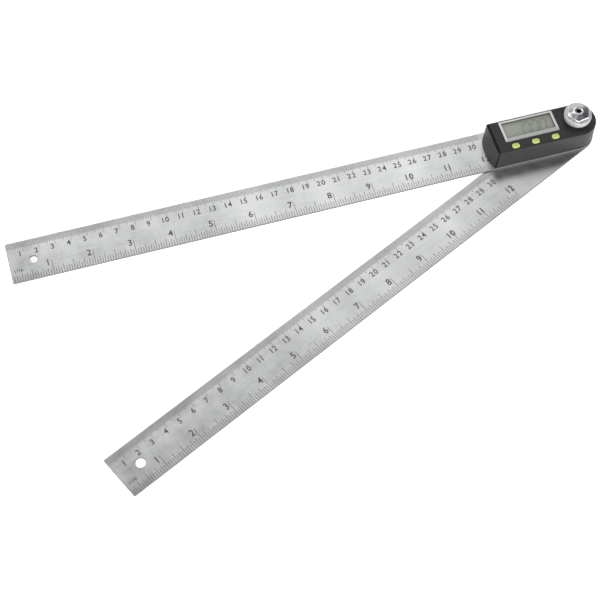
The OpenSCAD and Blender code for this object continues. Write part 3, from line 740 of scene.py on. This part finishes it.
class FINDER_OT_display(bpy.types.Operator):
    """Silver bezel, clear window, liquid crystal panel and its digits"""
    bl_idname = "finder.display"
    bl_label = "Display"

    def execute(self, context):
        # Silver-sprayed ABS: light grey with a soft metallic sheen
        silver = finish("abs_sprayed_silver", "#c0c1be", "#d0d1cd", 0.5, 0.34, 1.1, detail=3.0,
                        rough_swing=0.06)
        # Painted reflection: the front strip of the frame is coloured darker and blotchy for what it
        # mirrors
        front_painted_reflection = finish("abs_sprayed_silver_painted_reflection", "#929390", "#bcbdba", 0.4, 0.4, 0.9, detail=3.0,
                        rough_swing=0.08)
        # Inner walls of the opening: dark grey
        inner_wall_dark = finish("abs_dark_grey_inner_wall", "#2c2d2c", "#383938", 0.0, 0.5, 0.5, detail=2.0)
        outer = box_of(BEZEL_LO, BEZEL_HI, BEZEL_CORNER_R)
        view = box_of(VIEW_LO, VIEW_HI, 0.25)
        z0, z1 = float(BEZEL_LO[2]), float(BEZEL_HI[2])
        outside = stepped(outer, [(0, z0), (0, z1 - 0.25), (-0.06, z1 - 0.08), (-0.22, z1)])
        inside = stepped(view, [(0, z0), (0, z1 - 0.15), (0.06, z1 - 0.05), (0.16, z1)])
        points, walls, lids = walled(outside, [inside])
        front = [np.mean([points[i][1] for i in face]) < VIEW_LO[1] for face in walls + lids]
        zones = np.where(front, 2, 0)
        # The lowest strip of the inner wall comes after all strips of the outer one
        inner_wall = (len(outside) - 1) * len(outer)
        zones[inner_wall:inner_wall + len(view)] = 1
        piece("bezel_frame", "fixed_arm", (silver, inner_wall_dark, front_painted_reflection), [(points, walls, lids)],
              replaces=("display_bezel",), zones=zones.tolist())
        # Cast acrylic window: clear with a faint green-grey cast, and a polished gloss
        clear = finish("acrylic_clear_polished", "#b9bdb2", "#bcc0b6", 0.0, 0.06, 5.0, detail=1.0,
                       Alpha=0.16, IOR=1.49)
        pane = grown(box_of(WINDOW_LO, WINDOW_HI, WINDOW_CORNER_R), -0.02)
        piece("window_pane", "fixed_arm", clear,
              [walled(eased(pane, WINDOW_LO[2] + 0.04, WINDOW_HI[2] - 0.02, 0.06))],
              replaces=("display_window",))
        self.panel(context)
        return {"FINISHED"}

    def panel(self, context):
        """Glass sandwich of the panel, and its segments just over its face."""
        # Reflective liquid crystal glass: flat grey-green, a little yellower at the tail end,
        # with the shade of the deep bezel along its back and its pivot end
        display = context.scene.finder_colours.display
        made, tree, body = blank("lcd_glass_reflective")
        place = add(tree, "TexCoord").outputs["Object"]
        axis = add(tree, "SeparateXYZ", {0: place}).outputs
        across = remap(tree, axis["X"], VIEW_LO[0] * MM, (VIEW_HI[0] - 0.1) * MM)
        mixed = maths(tree, "MULTIPLY_ADD", noise(tree, place, 5, 2.0), 0.15, across)
        shade = ramp(tree, mixed, [(0.1, tinted(display, 1.26, 1.26, 1.16)),
                                   (0.5, tinted(display, 0.92, 0.98, 1.0)),
                                   (1.0, tinted(display, 1.02, 0.98, 0.98))])
        end_x, back_y = VIEW_HI[:2]
        back = remap(tree, axis["Y"], (back_y - 1.75) * MM, (back_y - 0.45) * MM, 1.0, 0.66)
        end = remap(tree, axis["X"], (end_x - 1.6) * MM, (end_x - 0.6) * MM, 1.0, 0.72)
        dimmed = scaled(tree, shade, maths(tree, "MULTIPLY", back, end))
        fill(tree, body, {"Base Color": dimmed, "Roughness": 0.35})
        low, top = PANEL_LO[2], PANEL_HI[2]
        glass = eased(box_of(PANEL_LO, PANEL_HI, 0.2), low, top - 0.01, 0.1)
        piece("lcd_glass", "fixed_arm", made, [walled(glass)], replaces=("lcd_panel",))
        # Liquid crystal segments seen from the side: broad, faint teal strokes
        dark = finish("lcd_segments_teal_grey", tinted(display, 0.40, 0.52, 0.52),
                      tinted(display, 0.52, 0.64, 0.64), 0.0, 0.5, 1.0, detail=1.0)
        plans = [plan for x in (-34.9, -29.3, -23.7)
                 for plan in nought_bars(x, y=-0.6, w=4.1, h=8.2, t=1.25, lean=0.22)]
        point = circle(-24.9, -0.3, 0.5, 16)
        plans.append(point)
        piece("lcd_segments", "fixed_arm", dark,
              [walled(upright(plan, top - 0.02, top + 0.01)) for plan in plans])


# ---------------------------------------------------------------- keys

def key_rings(lo, hi, edge):
    """Key: two retaining lips at its foot, an upright wall, a rounded shoulder and a crowned
    top, whose rings shrink towards the middle and rise by a parabola."""
    mid = middle(lo, hi)
    foot, top = float(lo[2]), float(hi[2])
    body, lip = rounded_box(*mid, *KEY, 8), rounded_box(*mid, *KEY_LIPS, 8)
    lip_top, crown = foot + 0.8, 0.12
    shoulder = top - crown - edge
    rings = [at(lip, foot), at(lip, lip_top), at(body, lip_top), at(body, shoulder - 0.2)]
    for a in np.linspace(0, math.pi / 2, 7):
        rings.append(at(grown(body, -edge * (1 - math.cos(a))), shoulder + edge * math.sin(a)))
    last = grown(body, -edge) - mid
    rings += [at(last * s + mid, top - crown * s * s) for s in (0.85, 0.6, 0.35, 0.12)]
    return np.stack(rings)


class FINDER_OT_keys(bpy.types.Operator):
    """Three moulded keys"""
    bl_idname = "finder.keys"
    bl_label = "Keys"

    def execute(self, context):
        edge = context.scene.finder_sizes.key_edge / MM
        top = float(span("button_left")[1][2]) * MM
        lime = self.plastic(context.scene.finder_colours.key, top)
        for side in ("left", "middle", "right"):
            node = "button_" + side
            piece("key_" + side, side + "_key", lime, [walled(key_rings(*span(node), edge))],
                  replaces=(node,))
        return {"FINISHED"}

    def plastic(self, key, top):
        """Injection moulded yellow-green ABS: satin, with painted shade down in its opening and a
        painted highlight, paler and bluish, round the rim of the top."""
        made = finish("abs_moulded_lime", tinted(key, 0.94), tinted(key, 1.05), 0.0, 0.38, 0.8,
                      detail=2.0)
        tree = made.node_tree
        body = tree.nodes["Principled BSDF"]
        moulded = body.inputs["Base Color"].links[0].from_socket
        height = add(tree, "SeparateXYZ", {0: add(tree, "TexCoord").outputs["Object"]}).outputs["Z"]
        # Painted shade and highlight: darker below the shoulder, where the key sits in its opening,
        # and paler and bluish round the top's rim, where it would catch the sky
        rim = ramp(tree, remap(tree, height, top - 0.8 * MM, top - 0.1 * MM), [
            (0.0, (0.6, 0.6, 0.6, 1.0)), (0.55, (1.35, 1.3, 1.9, 1.0)),
            (0.8, (1.25, 1.22, 1.6, 1.0)), (1.0, (1.0, 1.0, 1.0, 1.0))])
        key_painted_shade_and_highlight = add(tree, "VectorMath", {0: moulded, 1: rim}, operation="MULTIPLY")
        fill(tree, body, {"Base Color": key_painted_shade_and_highlight.outputs[0]})
        return made


# ---------------------------------------------------------------- knob

def hexagon(a, flat, turn):
    """Radius of a hexagon with softly rounded corners at angle a: its half width over flats
    divided by the 60-norm of the six facing cosines."""
    facing = np.stack([np.maximum(np.cos(a - turn - math.radians(30 + 60 * i)), 0)
                       for i in range(6)])
    return flat / np.sum(facing ** 60, axis=0) ** (1 / 60)


def knob_rings(edge):
    """Lock knob, ring by ring: up the bore, out under the knob, up its bevel and skirt, in over
    the ledge, up the hexagon's flats, over their rounded brow, in along the cone, over a low rim
    and down the eye. Near the corners the cone droops by a square law. Also gives the zone of each
    strip of faces: 0 chromed, 1 satin, 2 the hole, near black as a painted shade."""
    n = 240
    a = np.arange(n) * 2 * math.pi / n
    z0, z1 = float(KNOB_LO[2]), float(KNOB_HI[2])
    skirt_r, skirt_top, cone, corner, droop_r = 8.6, z0 + 4.6, z0 + 6.0, 7.8, 6.2
    flat = hexagon(a, corner * math.cos(math.pi / 6), math.radians(8))
    slope = (z1 - cone) / (corner - 2.6)
    rings, zones = [], []

    def add_ring(r, z, zone=0):
        r = np.broadcast_to(r, n)
        rings.append(np.column_stack((r * np.cos(a), r * np.sin(a), np.broadcast_to(z, n))))
        zones.append(zone)

    def surface(r):
        droop = np.maximum(np.broadcast_to(r, n) - droop_r, 0) / (corner - droop_r)
        return cone + slope * (corner - r) - 0.3 * droop ** 2

    for r, z in ((1.5, z1 - 2.4), (3.05, z1 - 2.4), (3.05, z0 + 0.2), (3.25, z0)):
        add_ring(r, z, 2)
    for r, z in ((7.3, z0), (7.45, z0 + 0.05), (8.45, z0 + 1.1), (8.56, z0 + 1.3),
                 (skirt_r, z0 + 1.6), (skirt_r, skirt_top - edge - 0.4)):
        add_ring(r, z, 1)
    for t in np.linspace(0, math.pi / 2, 5):
        add_ring(skirt_r - edge * (1 - math.cos(t)), skirt_top - edge * (1 - math.sin(t)), 1)
    for out, up in ((0.12, 0.0), (0.03, 0.03), (0.0, 0.12)):
        add_ring(flat + out, skirt_top + up)
    brow = flat - 1.3 * edge
    for t in np.linspace(0, 1, 7):
        r = flat - 1.3 * edge * t * t
        add_ring(r, surface(r) - edge * (1 - t) ** 2)
    for s in np.linspace(0, 1, 13)[1:]:
        r = brow * (1 - s) + 3.7 * s
        add_ring(r, surface(r))
    for r, z in ((3.55, 0.27), (3.4, 0.22), (3.2, 0.18), (2.6, 0.14), (2.3, 0.16), (2.0, 0.24),
                 (1.75, 0.4)):
        add_ring(r, z1 - z)
    for r, z in ((1.62, 0.6), (1.55, 0.9), (1.5, 1.4)):
        add_ring(r, z1 - z, 2)
    return np.stack(rings), np.repeat(zones, n).tolist()


class FINDER_OT_knob(bpy.types.Operator):
    """Turned and chromed lock knob"""
    bl_idname = "finder.knob"
    bl_label = "Lock knob"

    def execute(self, context):
        edge = context.scene.finder_sizes.knob_edge / MM
        # Chrome on turned steel: bright, with a fine grain that breaks up its mirror
        chrome = finish("steel_turned_chromed", "#c4c5c8", "#cfd0d2", 1.0, 0.16, 0.9, detail=3.0,
                        bump_mm=0.008, rough_swing=0.04)
        # The skirt is blasted before it is plated: a soft, slightly patchy satin
        satin = finish("steel_blasted_satin", "#a5a6a8", "#cdcecf", 0.5, 0.48, 1.2, detail=3.0,
                       bump_mm=0.01, rough_swing=0.08)
        # Painted shade: the hole is coloured near black for the shade inside it, where little light
        # gets in
        hole = finish("steel_hole_painted_shade", "#0c0c0d", "#161617", 0.2, 0.6, 0.5)
        rings, zones = knob_rings(edge)
        piece("knob_chrome", "clamp_knob", (chrome, satin, hole), [loop_solid(rings)],
              replaces=("lock_knob",), sharp=24.0, zones=zones)
        return {"FINISHED"}


# ---------------------------------------------------------------- carried CAD nodes

# Node names, material name, dark and light shade, metallic, roughness, grain in mm, bump in mm
CARRIED = [
    (("pivot_shaft",), "steel_turned_bright", "#8f9092", "#a2a3a5", 1.0, 0.3, 0.6, 0.004),
    (("pivot_bush",), "brass_turned", "#b08d45", "#c2a05a", 1.0, 0.3, 0.8, 0.004),
    (("thrust_washer",), "nylon_natural_punched", "#d8d8cc", "#e2e2d8", 0.0, 0.5, 1.0, 0.004),
    (("wave_washer",), "spring_steel_blued", "#6a6c70", "#7c7e82", 1.0, 0.35, 0.7, 0.004),
    (("retaining_ring",), "spring_steel_blackened", "#2c2c2e", "#3a3a3c", 0.8, 0.45, 0.7, 0.006),
    (("encoder_hub",), "acetal_moulded_white", "#dcdcd2", "#e6e6de", 0.0, 0.45, 1.0, 0.004),
    (("encoder_disc", "circuit_board"), "glass_epoxy_green_lacquer", "#15502c", "#1f6239", 0.0, 0.35,
     0.5, 0.01),
    (("controller_chip",), "epoxy_moulded_black", "#18181a", "#222225", 0.0, 0.6, 0.3, 0.01),
    (("switch_bodies",), "nylon_moulded_black", "#1c1c1c", "#262626", 0.0, 0.5, 0.5, 0.01),
    (("switch_plunger_left", "switch_plunger_middle", "switch_plunger_right"),
     "acetal_moulded_ivory", "#d9d2bd", "#e3ddca", 0.0, 0.45, 0.8, 0.004),
    (("lcd_contact_strips",), "silicone_strip_grey", "#8c8a94", "#9b99a3", 0.0, 0.6, 0.3, 0.01),
    (("battery_cell",), "steel_nickel_plated", "#b4b3ac", "#c6c5be", 1.0, 0.25, 1.5, 0.004),
    (("contact_positive", "contact_negative"), "phosphor_bronze_rolled", "#a97b45", "#bb8e58", 1.0,
     0.32, 0.5, 0.004),
    (("battery_tray",), "abs_moulded_black_inner", "#1d1d1e", "#272728", 0.0, 0.5, 0.4, 0.015),
    (("battery_cap",), "abs_moulded_black_cap", "#1c1c1d", "#28282a", 0.0, 0.45, 0.35, 0.02),
    (("knob_washer",), "fibre_washer_black", "#161617", "#202022", 0.0, 0.65, 0.3, 0.02),
    (("housing_screws",), "steel_blackened", "#303033", "#404044", 0.9, 0.4, 0.5, 0.006),
    (("board_screws",), "steel_zinc_plated", "#8d8f93", "#a0a2a6", 1.0, 0.3, 0.6, 0.004),
]


class FINDER_OT_carried(bpy.types.Operator):
    """Finishes for the CAD nodes that stay as they are"""
    bl_idname = "finder.carried"
    bl_label = "Carried pieces"

    def execute(self, context):
        for nodes, name, dark, light, metallic, rough, grain, bump in CARRIED:
            made = finish(name, dark, light, metallic, rough, grain, bump_mm=bump, rough_swing=0.04)
            for node in nodes:
                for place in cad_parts[node].material_slots:
                    place.material = made
        return {"FINISHED"}


# ---------------------------------------------------------------- stage

# Brightness of the studio near the horizon and overhead
SKY_LOW, SKY_HIGH = 0.9, 0.22
# Soft glows and dark screens: azimuth, elevation, outer and inner angular radius in degrees, and
# what a glow adds or what share of the light a screen holds back
GLOWS = [((69, 54, 16, 9), 1.35), ((140, 55, 24, 8), 2.0), ((115, 82, 10, 3), 0.5)]
SCREENS = [((22, 38, 34, 20), 0.78), ((265, 72, 14, 7), 0.8), ((102, 70, 13, 5), 0.7)]
# Soft boxes: name, place, aim, side in metres, watts
BOXES = [
    ("front_soft_box", (-0.7, -1.7, 1.1), (-0.15, -0.05, 0.0), 2.4, 36.0),
    ("right_soft_box", (1.4, -1.2, 0.9), (-0.1, 0.0, 0.0), 1.8, 16.0),
]


class FINDER_OT_stage(bpy.types.Operator):
    """Pale floor, soft studio light and the camera"""
    bl_idname = "finder.stage"
    bl_label = "Stage"

    def execute(self, context):
        self.floor()
        self.light(context)
        self.camera(context)
        return {"FINISHED"}

    def floor(self):
        """Square sheet of opal acrylic, lit from below, 0.1 mm under the lower ruler."""
        card = finish("acrylic_opal_lit", "#f6f6f6", "#fafafa", 0.0, 0.9, 4.0, detail=1.0,
                      Emission_Color=(1.0, 1.0, 1.0, 1.0), Emission_Strength=0.4)
        mesh = bpy.data.meshes.new("floor")
        half, z = 6.0, -0.1 * MM
        mesh.from_pydata([(x * half, y * half, z) for x, y in ((-1, -1), (1, -1), (1, 1), (-1, 1))],
                         [], [(0, 1, 2, 3)])
        mesh.materials.append(card)
        put("floor", mesh)

    def light(self, context):
        """World: studio white that dims overhead, with a large soft glow behind the object, which
        the rulers mirror, and dark screens, which the knob mirrors. Soft boxes in front lift the
        floor and the housing's near side."""
        world = bpy.data.worlds.new("studio")
        world.use_nodes = True
        context.scene.world = world
        tree = world.node_tree
        way = add(tree, "TexCoord").outputs["Generated"]

        def patch(azimuth, elevation, wide, narrow):
            """Smooth round patch of sky: 0 outside the wide angle, 1 inside the narrow one."""
            az, el = math.radians(azimuth), math.radians(elevation)
            aim = (math.cos(el) * math.cos(az), math.cos(el) * math.sin(az), math.sin(el))
            near = add(tree, "VectorMath", {0: way, 1: aim}, operation="DOT_PRODUCT")
            return remap(tree, near.outputs["Value"], math.cos(math.radians(wide)),
                         math.cos(math.radians(narrow)), interpolation_type="SMOOTHSTEP")

        tall = add(tree, "SeparateXYZ", {0: way}).outputs["Z"]
        total = remap(tree, tall, 0.5, 0.95, SKY_LOW, SKY_HIGH)
        for place, strength in GLOWS:
            total = maths(tree, "MULTIPLY_ADD", patch(*place), strength, total)
        for place, share in SCREENS:
            kept = maths(tree, "MULTIPLY_ADD", patch(*place), -share, 1.0)
            total = maths(tree, "MULTIPLY", total, kept)
        fill(tree, tree.nodes["Background"], {"Strength": total, "Color": (1.0, 1.0, 1.0, 1.0)})
        for name, place, aim, size, power in BOXES:
            data = bpy.data.lights.new(name, "AREA")
            data.shape, data.size, data.energy = "SQUARE", size, power
            lamp = put(name, data)
            lamp.location = place
            turn = Vector(aim) - Vector(place)
            lamp.rotation_euler = turn.to_track_quat("-Z", "Y").to_euler()

    def camera(self, context):
        """Camera fitted to the photograph: place, axes and lens for a square frame."""
        right = (0.961172, -0.275883, 0.006141)
        down = (-0.236842, -0.83616, -0.494714)
        ahead = (0.141614, 0.474045, -0.869035)
        place = (-0.328334, -0.495124, 0.781172)
        data = bpy.data.cameras.new("camera")
        data.sensor_width = 36.0
        data.lens = 89.979
        data.clip_start, data.clip_end = 0.01, 50.0
        made = put("camera", data)
        m = Matrix.Identity(4)
        for i in range(3):
            m[i][0], m[i][1], m[i][2], m[i][3] = right[i], -down[i], -ahead[i], place[i]
        made.matrix_world = m
        context.scene.camera = made
        context.scene.view_settings.view_transform = "Standard"


# ---------------------------------------------------------------- panel and run

STEPS = (FINDER_OT_rulers, FINDER_OT_scales, FINDER_OT_housing, FINDER_OT_display, FINDER_OT_keys,
         FINDER_OT_knob, FINDER_OT_carried, FINDER_OT_stage)


class FINDER_PT_panel(bpy.types.Panel):
    """Sidebar panel that lists the sizes, the colours and the steps"""
    bl_idname = "FINDER_PT_panel"
    bl_label = "Angle finder"
    bl_space_type = "VIEW_3D"
    bl_region_type = "UI"
    bl_category = "Angle finder"

    def draw(self, context):
        for group in (context.scene.finder_sizes, context.scene.finder_colours):
            for key in group.__annotations__:
                self.layout.prop(group, key)
        for step in STEPS:
            self.layout.operator(step.bl_idname)


CLASSES = (FinderSizes, FinderColours, *STEPS, FINDER_PT_panel)


def register():
    """Registers the classes and hangs the settings on the scene."""
    for c in CLASSES:
        bpy.utils.register_class(c)
    bpy.types.Scene.finder_sizes = PointerProperty(type=FinderSizes)
    bpy.types.Scene.finder_colours = PointerProperty(type=FinderColours)


def unregister():
    """Undoes register."""
    del bpy.types.Scene.finder_sizes
    del bpy.types.Scene.finder_colours
    for c in reversed(CLASSES):
        bpy.utils.unregister_class(c)


def main():
    register()
    for step in STEPS:
        group, name = step.bl_idname.split(".")
        getattr(getattr(bpy.ops, group), name)()


if __name__ == "__main__":
    main()
